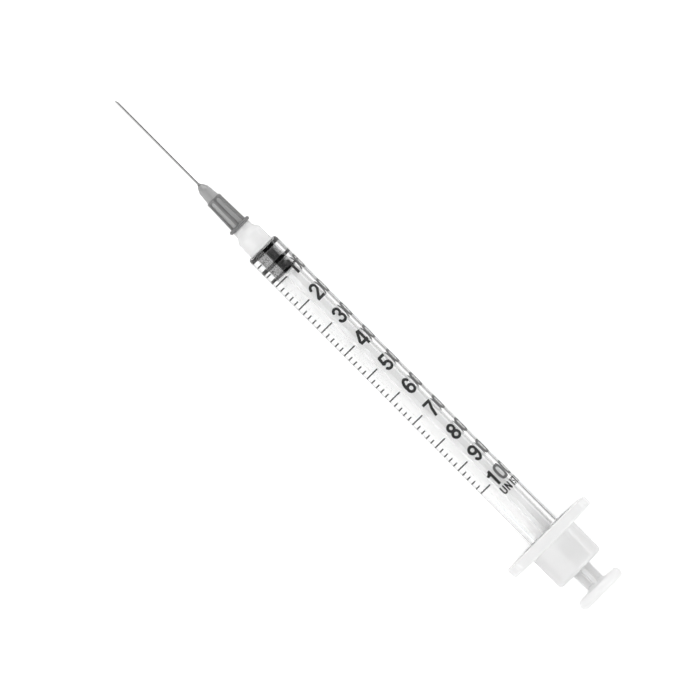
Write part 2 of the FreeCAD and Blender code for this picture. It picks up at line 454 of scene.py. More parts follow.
@dataclass(frozen=True, kw_only=True)
class RodPlastic(Finish):
    """White semi-gloss plastic of the plunger rod."""

    name: str = "rod_plastic"
    level: float = 0.86
    spread: Point2 = (0.97, 1.02)
    cloud: Grain = Grain(350.0, 3.0, (0.3, 1.0, 1.0))
    roughness: Point2 = (0.3, 0.3)
    relief: Grain = Grain(1200.0, 2.0, (0.2, 1.0, 1.0), depth=0.003 * MM)
    fixed: ClassVar[dict[str, Any]] = {
        "Subsurface Weight": 0.8,
        "Subsurface Radius": (1.0, 1.0, 1.0),
        "Subsurface Scale": 2.5 * MM,
    }


@dataclass(frozen=True, kw_only=True)
class PrintedInk(Finish):
    """Black printing ink, with slight unevenness."""

    name: str = "printed_ink"
    level: float = 0.012
    spread: Point2 = (0.5, 2.0)
    cloud: Grain = Grain(5000.0, 3.0)
    roughness: Point2 = (0.4, 0.6)
    fixed: ClassVar[dict[str, Any]] = {"Specular IOR Level": 0.3}


def rounded(corners: Sequence[Triple], steps: int = 6) -> list[Point2]:
    """Outline with an arc at each corner that has a radius.

    Args:
        corners: Points in order, each with its corner's radius, 0 at the ends of an open outline.
        steps: Divisions of each arc.

    Returns:
        The outline's points.
    """
    points: list[Point2] = []
    for number, (x, y, radius) in enumerate(corners):
        if radius == 0:
            points.append((x, y))
            continue
        here = Vector((x, y))
        before = (Vector(corners[number - 1][:2]) - here).normalized()
        after = (Vector(corners[(number + 1) % len(corners)][:2]) - here).normalized()
        half_angle = before.angle(after) / 2
        reach = radius / math.tan(half_angle)
        centre = here + (before + after).normalized() * (radius / math.sin(half_angle))
        start = here + before * reach - centre
        turn = start.angle_signed(here + after * reach - centre)
        for step in range(steps + 1):
            spoke = Matrix.Rotation(-turn * step / steps, 2) @ start
            points.append((centre.x + spoke.x, centre.y + spoke.y))
    return points


def bands(rings: int, count: int, is_loop: bool = False) -> list[tuple[int, ...]]:
    """Faces between neighbouring rings of points.

    Args:
        rings: Number of rings, whose points follow each other ring by ring.
        count: Points in each ring.
        is_loop: True where the last ring also joins the first.

    Returns:
        The faces.
    """
    faces = []
    for ring in range(rings if is_loop else rings - 1):
        first = ring * count
        second = (ring + 1) % rings * count
        for number in range(count):
            after = (number + 1) % count
            faces.append((first + number, first + after, second + after, second + number))
    return faces


def tidy_mesh(piece: Piece) -> None:
    """Joins double points, turns faces outward and shades the mesh smoothly.

    Args:
        piece: The piece to tidy.
    """
    work = bmesh.new()
    work.from_mesh(piece.data)
    bmesh.ops.remove_doubles(work, verts=work.verts, dist=MERGE_DISTANCE)
    bmesh.ops.dissolve_degenerate(work, edges=work.edges, dist=SLIVER_LENGTH)
    bmesh.ops.recalc_face_normals(work, faces=work.faces)
    work.to_mesh(piece.data)
    work.free()
    piece.data.polygons.foreach_set("use_smooth", [True] * len(piece.data.polygons))
    piece.data.set_sharp_from_angle(angle=SHARP_ANGLE)


def mesh_object(name: str, vertices: Sequence[Triple], faces: Sequence[Sequence[int]]) -> Piece:
    """Object with a smooth-shaded mesh.

    Args:
        name: The object's name.
        vertices: The mesh's points.
        faces: The mesh's faces.

    Returns:
        The new object, in the scene.
    """
    mesh = bpy.data.meshes.new(name)
    mesh.from_pydata(vertices, [], faces)
    made = bpy.data.objects.new(name, mesh)
    bpy.context.scene.collection.objects.link(made)
    tidy_mesh(made)
    return made


def lathe(name: str, outline: Sequence[Point2], segments: int = 128,
          radius_at: Optional[Callable[[float, float, float], float]] = None) -> Piece:
    """Solid turned about the X axis.

    Args:
        name: The object's name.
        outline: Points (x, radius), either a loop or a line with both ends on the axis.
        segments: Divisions of the full turn.
        radius_at: Gives the radius from x, angle and the outline's radius.

    Returns:
        The new object.
    """
    vertices = []
    for x, radius in outline:
        for number in range(segments):
            angle = 2 * math.pi * number / segments
            reach = radius_at(x, angle, radius) if radius_at else radius
            vertices.append((x, reach * math.sin(angle), reach * math.cos(angle)))
    is_loop = outline[0][1] > 0
    return mesh_object(name, vertices, bands(len(outline), segments, is_loop))


def combine(base: Piece, join: Join, *others: Piece) -> None:
    """Adds solids to another or cuts them out of it, and deletes them.

    Args:
        base: The solid that is kept.
        join: What is done with the others.
        *others: The solids that are used up.
    """
    for other in others:
        modifier = base.modifiers.new("join", "BOOLEAN")
        modifier.operation = join.value
        modifier.solver = "EXACT"
        modifier.object = other
        graph = bpy.context.evaluated_depsgraph_get()
        mesh = bpy.data.meshes.new_from_object(base.evaluated_get(graph))
        base.modifiers.clear()
        old = base.data
        base.data = mesh
        bpy.data.meshes.remove(old)
        bpy.data.objects.remove(other)
    tidy_mesh(base)


def coat(piece: Piece, material: Material) -> None:
    """Gives a piece its one material.

    Args:
        piece: The piece.
        material: Its finish.
    """
    piece.data.materials.clear()
    piece.data.materials.append(material)
    log.info("%s: %d faces", piece.name, len(piece.data.polygons))


def dress(piece: Piece, material: Material, body: str, slot: str, *nodes: str) -> None:
    """Gives a new piece its finish and its place in the frame.

    Args:
        piece: The piece.
        material: Its finish.
        body: The body that it rides on.
        slot: The record's material slot; not used.
        *nodes: CAD nodes that it stands for.
    """
    coat(piece, material)
    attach(piece, body)
    if nodes:
        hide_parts(*nodes)


def mount_size(name: str, key: str) -> float:
    """Size in metres of one of the record's mounts."""
    mounts = {mount["name"]: mount for mount in frame["record"]["mounts"]}
    return mounts[name]["dims"][key] * MM


@dataclass
class Barrel:
    """Clear tube with its nose, tip, finger flange and collar."""

    radius: float = mount_size("barrel_outside", "r_mm")
    wall: float = 0.9 * MM
    segments: int = 160
    chamber_front: float = -0.55 * MM
    chamber_round: float = 0.08 * MM
    front: float = -1.13 * MM
    shoulder: float = 0.7 * MM
    nose_radius: float = 2.518 * MM
    nose_length: float = 3.0 * MM
    nose_root_round: float = 0.03 * MM
    nose_round: float = 0.5 * MM
    cone_length: float = 1.0 * MM
    cone_round: float = 0.35 * MM
    neck_radius: float = 1.8 * MM
    neck_length: float = 1.04 * MM
    neck_round: float = 0.18 * MM
    tip_radius: float = 1.0 * MM
    tip_front_radius: float = 0.86 * MM
    tip_root_round: float = 0.05 * MM
    end_round: float = 0.12 * MM
    channel_radius: float = 0.32 * MM
    nipple_room_radius: float = 0.55 * MM
    nipple_room_front: float = -2.5 * MM
    nipple_room_round: float = 0.1 * MM
    flange_front: float = 69.68 * MM
    flange_thickness: float = 2.34 * MM
    flange_end_thickness: float = 2.0 * MM
    flange_corner: float = 1.6 * MM
    flange_corner_points: int = 10
    flange_side_points: int = 14
    flange_edge: float = 0.42 * MM
    flange_edge_steps: int = 6
    drill_reach: float = 1.0 * MM
    collar_radius: float = 5.0 * MM
    collar_wall: float = 1.05 * MM
    collar_floor: float = 0.9 * MM
    collar_edge: float = 0.8 * MM
    collar_lip_round: float = 0.2 * MM
    collar_floor_round: float = 0.3 * MM
    tube_end_setback: float = 0.5 * MM
    tube_mouth_round: float = 0.25 * MM
    bead_height: float = 0.12 * MM
    bead_length: float = 0.9 * MM
    bead_round: float = 0.3 * MM
    bead_root_round: float = 0.2 * MM

    @property
    def bore(self) -> float:
        """Radius of the bore."""
        return self.radius - self.wall

    @property
    def mid_wall(self) -> float:
        """Radius at the middle of the tube's wall."""
        return self.radius - self.wall / 2

    @property
    def flange_back(self) -> float:
        """Place of the flange's back face."""
        return self.flange_front + self.flange_thickness

    def tube_outline(self) -> list[Point2]:
        """Section of the tube, nose and tip.

        Returns:
            The section's points.
        """
        low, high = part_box("barrel")
        nose_front = self.front - self.nose_length
        cone_front = nose_front - self.cone_length
        neck_front = cone_front - self.neck_length
        tube_back = high.x - self.tube_end_setback
        bead_middle = (self.flange_front + self.flange_back) / 2
        half_bead = self.bead_length / 2
        return rounded([
            (low.x, self.channel_radius, 0),
            (low.x, self.tip_front_radius, self.end_round),
            (neck_front, self.tip_radius, self.tip_root_round),
            (neck_front, self.neck_radius, self.neck_round),
            (cone_front, self.neck_radius, self.cone_round),
            (nose_front, self.nose_radius, self.nose_round),
            (self.front, self.nose_radius, self.nose_root_round),
            (self.front, self.radius, self.shoulder),
            (tube_back, self.radius, self.end_round),
            (tube_back, self.bore, self.tube_mouth_round),
            (bead_middle + half_bead, self.bore, self.bead_root_round),
            (bead_middle, self.bore - self.bead_height, self.bead_round),
            (bead_middle - half_bead, self.bore, self.bead_root_round),
            (self.chamber_front, self.bore, self.chamber_round),
            (self.chamber_front, self.nipple_room_radius, self.chamber_round),
            (self.nipple_room_front, self.nipple_room_radius, self.nipple_room_round),
            (self.nipple_room_front, self.channel_radius, 0),
        ])

    def collar_outline(self) -> list[Point2]:
        """Section of the collar behind the flange.

        Returns:
            The section's points.
        """
        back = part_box("barrel")[1].x
        inner = self.collar_radius - self.collar_wall
        return rounded([
            (self.flange_back - self.collar_floor, self.mid_wall, 0),
            (self.flange_back - self.collar_floor, self.collar_radius, 0),
            (back, self.collar_radius, self.collar_edge),
            (back, inner, self.collar_lip_round),
            (self.flange_back + self.collar_floor, inner, self.collar_floor_round),
            (self.flange_back + self.collar_floor, self.mid_wall, 0),
        ])

    def _flange_ring(self, inset: float) -> list[Point2]:
        """Outline of the flange, seen along the axis.

        Args:
            inset: Distance inside the flange's outermost outline.

        Returns:
            Points (y, z) in order.
        """
        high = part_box("barrel")[1]
        centre_z = high.z - self.flange_corner
        centre_y = math.sqrt((high.y - self.flange_corner) ** 2 - centre_z ** 2)
        lean = math.atan2(centre_z, centre_y)
        span = high.y - inset
        corner = self.flange_corner - inset
        quarter = []
        for angle in np.linspace(0, lean, self.flange_side_points):
            quarter.append((span * math.cos(angle), span * math.sin(angle)))
        for angle in np.linspace(lean, math.pi / 2, self.flange_corner_points)[1:]:
            y = centre_y + corner * math.cos(angle)
            quarter.append((y, centre_z + corner * math.sin(angle)))
        quarter.append((self.collar_radius, high.z - inset))
        ring = quarter + [(-y, z) for y, z in reversed(quarter)]
        return ring + [(y, -z) for y, z in reversed(ring[1:-1])]

    def flange(self) -> Piece:
        """Finger flange with rounded edges, thinner towards its ends.

        Returns:
            The flange.
        """
        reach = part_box("barrel")[1].y - self.collar_radius
        thinning = (self.flange_thickness - self.flange_end_thickness) / 2
        steps = np.linspace(0, math.pi / 2, self.flange_edge_steps + 1)
        rings = [(1, self.flange_front, angle) for angle in reversed(steps)]
        rings += [(-1, self.flange_back, angle) for angle in steps]
        vertices = []
        for side, face, angle in rings:
            depth = self.flange_edge * (1 - math.sin(angle))
            for y, z in self._flange_ring(self.flange_edge * (1 - math.cos(angle))):
                beyond = max(0.0, abs(y) - self.collar_radius) / reach
                vertices.append((face + side * (thinning * beyond + depth), y, z))
        count = len(vertices) // len(rings)
        faces = bands(len(rings), count)
        # Each face of the flange is flat beside the collar and slopes on both sides of it.
        right = (count + 2) // 4
        left = 3 * right - 1
        caps = (
            (right - 1, right, left - 1, left),
            tuple(range(right, left)),
            (*range(left, count), *range(right)),
        )
        last = len(vertices) - count
        faces += [cap[::-1] for cap in caps]
        faces += [tuple(last + number for number in cap) for cap in caps]
        return mesh_object("flange", vertices, faces)

    def build(self) -> None:
        """Builds and dresses the barrel."""
        tube = lathe("barrel_body", self.tube_outline(), self.segments)
        collar = lathe("collar", self.collar_outline())
        flange = self.flange()
        hole = self.mid_wall
        start, end = self.flange_front - self.drill_reach, self.flange_back + self.drill_reach
        drill = lathe("drill", [(start, 0), (start, hole), (end, hole), (end, 0)])
        combine(flange, Join.DIFFERENCE, drill)
        combine(tube, Join.UNION, flange, collar)
        finish = BarrelPlastic(clear_start=self.front + self.shoulder / 2,
                               clear_end=self.flange_front)
        dress(tube, finish.build(), "barrel", "clear_plastic", "barrel")


@dataclass
class Plunger:
    """Rubber stopper and plunger rod."""

    barrel: Barrel
    front: float = -0.51 * MM
    nipple_radius: float = 0.47 * MM
    nipple_round: float = 0.3 * MM
    nipple_root_round: float = 0.1 * MM
    wall_contact: float = 0.01 * MM
    middle_rib: float = 2.63 * MM
    rib_width: float = 0.66 * MM
    rib_height: float = 0.3 * MM
    rib_rounds: Triple = (0.06 * MM, 0.06 * MM, 0.2 * MM)
    groove_round: float = 0.1 * MM
    mouth_radius: float = 0.79 * MM
    mouth_length: float = 1.0 * MM
    mouth_round: float = 0.05 * MM
    socket_radius: float = 1.24 * MM
    socket_front_radius: float = 0.54 * MM
    socket_length: float = 1.78 * MM
    head_front_radius: float = 0.5 * MM
    head_front_round: float = 0.1 * MM
    head_radius: float = 1.2 * MM
    head_round: float = 0.08 * MM
    stem_radius: float = 0.75 * MM
    stem_length: float = 1.1 * MM
    stem_round: float = 0.05 * MM
    pusher_gap: float = 0.04 * MM
    pusher_radius: float = 2.1 * MM
    pusher_thickness: float = 0.6 * MM
    pusher_round: float = 0.15 * MM
    vane_count: int = 4
    vane_radius: float = 1.893 * MM
    vane_thickness: float = 0.8 * MM
    vane_tip_round: float = 0.12 * MM
    vane_root_round: float = 0.25 * MM
    vane_turn: float = math.radians(-6.0)
    vane_overlap: float = 0.2 * MM
    disc_thickness: float = 2.0 * MM
    disc_round: float = 0.9 * MM
    disc_steps: int = 8
    flare_length: float = 0.6 * MM
    flare_start: float = 0.7
    flare_width: float = 0.5 * MM
    flare_round: float = 0.5 * MM

    def stopper(self) -> None:
        """Builds and dresses the stopper, with its ribs against the barrel's wall."""
        low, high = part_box("stopper")
        rib = self.barrel.bore + self.wall_contact
        groove = self.barrel.bore - self.rib_height
        corners = [
            (low.x, 0.0, 0),
            (low.x, self.nipple_radius, self.nipple_round),
            (self.front, self.nipple_radius, self.nipple_root_round),
        ]
        starts = (self.front, self.middle_rib - self.rib_width / 2, high.x - self.rib_width)
        for start, rounding in zip(starts, self.rib_rounds):
            if start > self.front:
                corners.append((start, groove, self.groove_round))
            corners.append((start, rib, rounding))
            corners.append((start + self.rib_width, rib, rounding))
            if start < starts[-1]:
                corners.append((start + self.rib_width, groove, self.groove_round))
        socket_back = high.x - self.mouth_length
        socket_front = socket_back - self.socket_length
        corners += [
            (high.x, self.mouth_radius, self.mouth_round),
            (socket_back, self.mouth_radius, 0),
            (socket_back, self.socket_radius, 0),
            (socket_front, self.socket_front_radius, 0),
            (socket_front, 0.0, 0),
        ]
        piece = lathe("stopper_body", rounded(corners))
        finish = StopperRubber(contact_radius=self.barrel.bore)
        dress(piece, finish.build(), "stopper", "stopper_rubber", "stopper")

    def vanes(self, start: float, end: float) -> Piece:
        """Cross-shaped shaft.

        Args:
            start: Its front place.
            end: Its back place.

        Returns:
            The shaft.
        """
        half = self.vane_thickness / 2
        tip = math.sqrt(self.vane_radius ** 2 - half ** 2)
        vane = (
            (tip, -half, self.vane_tip_round),
            (tip, half, self.vane_tip_round),
            (half, half, self.vane_root_round),
        )
        corners = []
        for number in range(self.vane_count):
            angle = 2 * math.pi / self.vane_count * number + self.vane_turn
            for y, z, radius in vane:
                corners.append((*(Matrix.Rotation(angle, 2) @ Vector((y, z))), radius))
        ring = rounded(corners)
        count = len(ring)
        vertices = [(x, y, z) for x in (start, end) for y, z in ring]
        faces = bands(2, count) + [tuple(range(count))[::-1], tuple(range(count, 2 * count))]
        return mesh_object("vanes", vertices, faces)

    def rod(self) -> None:
        """Builds and dresses the rod, with its head, pusher, vanes and thumb disc."""
        low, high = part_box("plunger_rod")
        pusher_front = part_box("stopper")[1].x + self.pusher_gap
        pusher_back = pusher_front + self.pusher_thickness
        head_back = pusher_front - self.stem_length
        disc_front = high.x - self.disc_thickness
        flare_front = disc_front - self.flare_length
        rod = lathe("rod_body", rounded([
            (low.x, 0.0, 0),
            (low.x, self.head_front_radius, self.head_front_round),
            (head_back, self.head_radius, self.head_round),
            (head_back, self.stem_radius, self.stem_round),
            (pusher_front, self.stem_radius, self.stem_round),
            (pusher_front, self.pusher_radius, self.pusher_round),
            (pusher_back, self.pusher_radius, self.pusher_round),
            (pusher_back, 0.0, 0),
        ]))
        disc = lathe("thumb_disc", rounded([
            (flare_front, 0.0, 0),
            (flare_front, self.vane_radius * self.flare_start, 0),
            (disc_front, self.vane_radius + self.flare_width, self.flare_round),
            (disc_front, high.y, self.disc_round),
            (high.x, high.y, self.disc_round),
            (high.x, 0.0, 0),
        ], self.disc_steps))
        shaft = self.vanes(pusher_back - self.vane_overlap, disc_front + self.vane_overlap)
        combine(rod, Join.UNION, shaft, disc)
        dress(rod, RodPlastic().build(), "rod", "white_plastic", "plunger_rod")

    def build(self) -> None:
        """Builds and dresses both pieces."""
        self.stopper()
        self.rod()


@dataclass
class Needle:
    """Needle hub, adhesive and cannula.

    Pockets are cut only in what stands pocket_clearance outside the spout, and they run on for
    pocket_reach behind the base ring's front face.
    """

    segments: int = 360
    ring_thickness: float = 0.72 * MM
    ring_round: float = 0.32 * MM
    grip_length: float = 6.23 * MM
    grip_rows: int = 84
    grip_back_radius: float = 1.71 * MM
    grip_front_radius: float = 1.53 * MM
    grip_chamfer: float = 0.12 * MM
    grip_round: float = 0.05 * MM
    row_setback: float = 0.01 * MM
    ribs: int = 6
    rib_width: float = 0.74 * MM
    rib_turn: float = math.radians(-4.0)
    pocket_depth: float = 0.32 * MM
    pocket_end_wall: float = 0.42 * MM
    pocket_edge: float = 0.07 * MM
    pocket_reach: float = 0.02 * MM
    pocket_clearance: float = 0.05 * MM
    spout_back_radius: float = 1.27 * MM
    spout_front_radius: float = 1.04 * MM
    spout_root_round: float = 0.06 * MM
    nose_length: float = 0.95 * MM
    nose_front_radius: float = 0.54 * MM
    nose_round: float = 0.9 * MM
    nose_front_round: float = 0.12 * MM
    well_radius: float = 0.42 * MM
    well_depth: float = 1.3 * MM
    cannula_room: float = 0.22 * MM
    socket_radius: float = 1.015 * MM
    socket_front_radius: float = 0.875 * MM
    socket_front: float = -11.87 * MM

    @cached_property
    def ring_front(self) -> float:
        """Place of the base ring's front face."""
        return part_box("needle_hub")[1].x - self.ring_thickness

    @cached_property
    def grip_front(self) -> float:
        """Place of the ribbed grip's front end."""
        return self.ring_front - self.grip_length

    def pocket(self, x: float, angle: float, radius: float) -> float:
        """Radius of the hub's outside, with its pockets.

        Args:
            x: Place along the axis.
            angle: Angle from the top.
            radius: Radius without pockets.

        Returns:
            The radius at that point.
        """
        is_on_grip = self.grip_front < x <= self.ring_front + self.pocket_reach
        if radius < self.spout_back_radius + self.pocket_clearance or not is_on_grip:
            return radius
        pitch = 2 * math.pi / self.ribs
        middle_radius = (self.grip_back_radius + self.grip_front_radius) / 2
        half_width = (pitch * middle_radius - self.rib_width) / 2
        across = ((angle - self.rib_turn) % pitch - pitch / 2) * middle_radius
        beyond = max(0.0, self.grip_front + self.pocket_end_wall + half_width - x)
        distance = math.hypot(across, beyond) - half_width
        share = min(1.0, max(0.0, 0.5 - distance / (2 * self.pocket_edge)))
        return radius - self.pocket_depth * share * share * (3 - 2 * share)

    def hub(self) -> None:
        """Builds and dresses the needle hub, with its ribs and pockets."""
        low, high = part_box("needle_hub")
        well_back = low.x + self.well_depth
        grip_end = self.grip_front + self.grip_chamfer
        ring = rounded([
            (high.x, self.socket_radius, 0),
            (high.x, high.y, self.ring_round),
            (self.ring_front, high.y, self.ring_round),
            (self.ring_front, self.grip_back_radius, 0),
        ])
        rows = self.grip_rows + 1
        grip = zip(
            np.linspace(self.ring_front - self.row_setback, grip_end - self.row_setback, rows),
            np.linspace(self.grip_back_radius, self.grip_front_radius, rows),
        )
        spout = rounded([
            (grip_end, self.grip_front_radius, 0),
            (self.grip_front, self.grip_front_radius - self.grip_chamfer, self.grip_round),
            (self.grip_front, self.spout_back_radius, self.spout_root_round),
            (low.x + self.nose_length, self.spout_front_radius, self.nose_round),
            (low.x, self.nose_front_radius, self.nose_front_round),
            (low.x, self.well_radius, 0),
            (well_back, self.well_radius, 0),
            (well_back, self.cannula_room, 0),
            (self.socket_front, self.cannula_room, 0),
            (self.socket_front, self.socket_front_radius, 0),
        ])
        outline = ring + list(grip)[1:] + spout[1:]
        piece = lathe("hub_body", outline, self.segments, self.pocket)
        finish = HubPlastic(
            grip_front=self.grip_front,
            grip_front_radius=self.grip_front_radius,
            grip_slope=(self.grip_back_radius - self.grip_front_radius) / self.grip_length,
            pocket_depth=self.pocket_depth,
        )
        dress(piece, finish.build(), "barrel", "grey_hub_plastic", "needle_hub")

    def build(self) -> None:
        """Builds the hub and coats the two pieces that keep their solids."""
        self.hub()
        coat(frame["nodes"]["cannula"], NeedleSteel().build())
        coat(frame["nodes"]["glue_bead"], Adhesive().build())


class Stroke:
    """One thick line of a glyph, in units of the glyph's height."""

    def __init__(self, points: Sequence[Point2]) -> None:
        """Keeps the points along the middle of the line."""
        self.points = np.array(points, float)

    @classmethod
    def arc(cls, x: float, y: float, wide: float, high: float, start: float, end: float,
            squareness: float = 1.0) -> "Stroke":
        """Part of an ellipse.

        Args:
            x: Its centre across.
            y: Its centre up.
            wide: Its half width.
            high: Its half height.
            start: First angle in degrees, from the right.
            end: Last angle in degrees.
            squareness: 1 for an ellipse, and less for a squarer oval.

        Returns:
            The stroke.
        """
        angles = np.radians(np.linspace(start, end, ARC_POINTS))
        across = np.sign(np.cos(angles)) * np.abs(np.cos(angles)) ** squareness
        up = np.sign(np.sin(angles)) * np.abs(np.sin(angles)) ** squareness
        return cls(np.stack([x + wide * across, y + high * up], axis=1))

    def distance(self, places: np.ndarray) -> np.ndarray:
        """Distance from places to the middle of the line, with square ends.

        Args:
            places: Places as rows.

        Returns:
            One distance for each place, large beyond the line's ends.
        """
        nearest = np.full(len(places), FAR_AWAY)
        last = len(self.points) - 2
        is_ring = np.allclose(self.points[0], self.points[-1])
        for number in range(last + 1):
            start = self.points[number]
            step = self.points[number + 1] - start
            share = (places - start) @ step / (step @ step)
            clipped = np.clip(share, 0, 1)
            gap = np.linalg.norm(places - start - clipped[:, None] * step, axis=1)
            if not is_ring and number == 0:
                gap = np.where(share < 0, FAR_AWAY, gap)
            if not is_ring and number == last:
                gap = np.where(share > 1, FAR_AWAY, gap)
            nearest = np.minimum(nearest, gap)
        return nearest


def glyph_strokes() -> dict[str, list[Stroke]]:
    """Strokes of the numerals and capitals that the scale uses.

    Returns:
        Strokes for each character.
    """
    line, arc = Stroke, Stroke.arc
    six = [arc(0.3, 0.3, 0.21, 0.215, 0, 360), arc(0.31, 0.5, 0.22, 0.415, 205, 38)]
    nine = [line([(GLYPH_WIDTH - x, 1 - y) for x, y in stroke.points]) for stroke in six]
    return {
        "0": [arc(0.3, 0.5, 0.215, 0.415, 0, 360, 0.7)],
        "1": [line([(0.37, 0.0), (0.37, 1.0)]), line([(0.36, 0.86), (0.26, 0.76), (0.1, 0.72)])],
        "2": [arc(0.295, 0.69, 0.205, 0.225, 178, -38), line([(0.46, 0.555), (0.1, 0.13)]),
              line([(0.02, 0.085), (0.58, 0.085)])],
        "3": [arc(0.29, 0.71, 0.19, 0.205, 170, -90), arc(0.29, 0.295, 0.215, 0.21, 90, -172)],
        "4": [line([(0.43, 0.0), (0.43, 1.0)]), line([(0.0, 0.275), (0.6, 0.275)]),
              line([(0.38, 1.0), (0.0, 0.32)])],
        "5": [line([(0.11, 0.915), (0.55, 0.915)]), line([(0.15, 0.95), (0.105, 0.45)]),
              arc(0.29, 0.305, 0.22, 0.22, 140, -160)],
        "6": six,
        "7": [line([(0.02, 0.915), (0.58, 0.915)]), line([(0.52, 0.9), (0.33, 0.5), (0.22, 0.0)])],
        "8": [arc(0.3, 0.72, 0.185, 0.195, 0, 360), arc(0.3, 0.29, 0.215, 0.205, 0, 360)],
        "9": nine,
        "U": [line([(0.09, 1.0), (0.09, 0.33)]), arc(0.3, 0.33, 0.21, 0.25, 180, 360),
              line([(0.51, 0.33), (0.51, 1.0)])],
        "N": [line([(0.09, 0.0), (0.09, 1.0)]), line([(0.53, 0.0), (0.53, 1.0)]),
              line([(0.09, 0.95), (0.53, 0.05)])],
        "I": [line([(0.3, 0.0), (0.3, 1.0)])],
        "T": [line([(0.3, 0.0), (0.3, 1.0)]), line([(0.02, 0.92), (0.58, 0.92)])],
        "S": [arc(0.3, 0.715, 0.2, 0.2, 25, 270), arc(0.3, 0.29, 0.22, 0.205, 90, -155)],
    }


def clip_grid(places: np.ndarray, inside: np.ndarray,
              rows: int) -> tuple[list[Point2], list[list[int]]]:
    """Part of a grid where a value is above zero.

    Args:
        places: The grid's places, column by column.
        inside: The value at each place.
        rows: Places in each column.

    Returns:
        Points and the polygons between them.
    """
    points: list[Point2] = []
    known: dict[tuple[int, int], int] = {}

    def point(first: int, second: int) -> int:
        """Number of the point where the edge between two places crosses zero."""
        low, high = key = (min(first, second), max(first, second))
        if key not in known:
            share = inside[low] / (inside[low] - inside[high]) if low != high else 0.0
            known[key] = len(points)
            points.append(tuple(places[low] + share * (places[high] - places[low])))
        return known[key]

    polygons = []
    for column in range(len(places) // rows - 1):
        for row in range(rows - 1):
            first = column * rows + row
            square = (first, first + rows, first + rows + 1, first + 1)
            polygon = []
            for here, after in zip(square, square[1:] + square[:1]):
                if inside[here] > 0:
                    polygon.append(point(here, here))
                if (inside[here] > 0) != (inside[after] > 0):
                    polygon.append(point(here, after))
            if len(polygon) > 2:
                polygons.append(polygon)
    return points, polygons


def layer_faces(polygons: list[list[int]], count: int) -> list[list[int]]:
    """Faces of a closed layer, whose second half of points lies under the first half.

    Args:
        polygons: Polygons of its upper side.
        count: Points of its upper side.

    Returns:
        Faces of the upper side, the lower side and the edges.
    """
    faces = polygons + [[count + number for number in reversed(polygon)] for polygon in polygons]
    edges = set()
    for polygon in polygons:
        for here, after in zip(polygon, polygon[1:] + polygon[:1]):
            if (after, here) in edges:
                edges.remove((after, here))
            else:
                edges.add((here, after))
    return faces + [[here, count + here, count + after, after] for here, after in sorted(edges)]


@dataclass(frozen=True)
class Row:
    """Row of characters round the barrel.

    The weight and the advance are the strokes' width and the characters' pitch, as shares of
    the height. The centre is the row's place along the axis, and the angle is that of its left
    side from the top.
    """

    name: str
    text: str
    height: float
    weight: float
    advance: float
    centre: float
    angle: float


@dataclass
class Scale:
    """Printed marks, numerals and unit on the barrel.

    The shifts are the distances, in millimetres, of the numerals' middles from their lines. The
    numerals' left sides turn slowly round the barrel, and stand at straight_angle at the line
    that is straight_number long lines from zero.
    """

    barrel: Barrel
    pitch: float = 5.7 * MM
    numeral_height: float = 3.14 * MM
    numeral_weight: float = 0.17
    numeral_advance: float = 0.79
    shifts: tuple[float, ...] = (-0.5, -0.17, -0.05, -0.1, 0.24, 0.29, 0.26, 0.19, -0.17, -0.45)
    straight_number: int = 2
    straight_angle: float = math.radians(9.5)
    twist: float = math.radians(-0.13) / MM
    hundred_advance: float = 0.62
    hundred_angle: float = math.radians(-12.0)
    unit: Row = Row("unit", "UNITS", height=1.55 * MM, weight=0.18, advance=0.72,
                    centre=59.4 * MM, angle=math.radians(-5.0))
    ink_gap: float = 0.006 * MM
    ink_thickness: float = 0.03 * MM
    # Grey of the paler ink on the characters after the first: painted highlight.
    painted_highlight_ink_level: float = 0.1
    mark_ink_level: float = 0.05
    grid: float = 0.07 * MM
    strokes: dict[str, list[Stroke]] = field(default_factory=glyph_strokes)

    def glyph(self, row: Row, place: int) -> Piece:
        """One raised character of ink, wrapped on the barrel.

        Args:
            row: The row that it is in.
            place: Its number in the row, from 0.

        Returns:
            The character.
        """
        step = self.grid / row.height
        across = np.arange(-step, GLYPH_WIDTH + 2 * step, step)
        up = np.arange(-step, 1 + 2 * step, step)
        places = np.stack(np.meshgrid(across, up, indexing="ij"), axis=-1).reshape(-1, 2)
        gaps = [stroke.distance(places) for stroke in self.strokes[row.text[place]]]
        inside = row.weight / 2 - np.min(gaps, axis=0)
        inside = np.minimum(inside, np.minimum(places[:, 1], 1 - places[:, 1]))
        points, polygons = clip_grid(places, inside, len(up))
        base = self.barrel.radius + self.ink_gap
        unit = row.height / self.barrel.radius
        vertices = []
        for radius in (base + self.ink_thickness, base):
            for right, height in points:
                turn = row.angle + (place * row.advance + right) * unit
                x = row.centre + (0.5 - height) * row.height
                vertices.append((x, radius * math.sin(turn), radius * math.cos(turn)))
        return mesh_object(f"{row.name}_{place}", vertices, layer_faces(polygons, len(points)))

    def write(self, row: Row, first_ink: Material, other_ink: Material) -> None:
        """Builds and dresses a row of characters.

        Args:
            row: The row.
            first_ink: Finish of its first character.
            other_ink: Finish of the others.
        """
        for place in range(len(row.text)):
            ink = other_ink if place else first_ink
            dress(self.glyph(row, place), ink, "barrel", "black_ink")

    def build(self) -> None:
        """Builds and dresses the numerals and the unit, and coats the marks."""
        ink = PrintedInk().build()
        # Characters after the first in each numeral get paler ink: painted highlight, for the
        # sheen of glossy ink towards the barrel's edge.
        painted_highlight_ink = PrintedInk(name="painted_highlight_ink", level=self.painted_highlight_ink_level).build()
        for number, shift in enumerate(self.shifts, start=1):
            text = str(number * 10)
            advance = self.numeral_advance
            angle = self.straight_angle + self.twist * self.pitch * (number - self.straight_number)
            if len(text) == 3:
                advance, angle = self.hundred_advance, self.hundred_angle
            centre = number * self.pitch + shift * MM
            row = Row(f"numeral_{text}", text, self.numeral_height, self.numeral_weight, advance,
                      centre, angle)
            self.write(row, ink, painted_highlight_ink)
        self.write(self.unit, ink, ink)
        mark_ink = PrintedInk(name="mark_ink", level=self.mark_ink_level).build()
        coat(frame["nodes"]["scale_marks"], mark_ink)


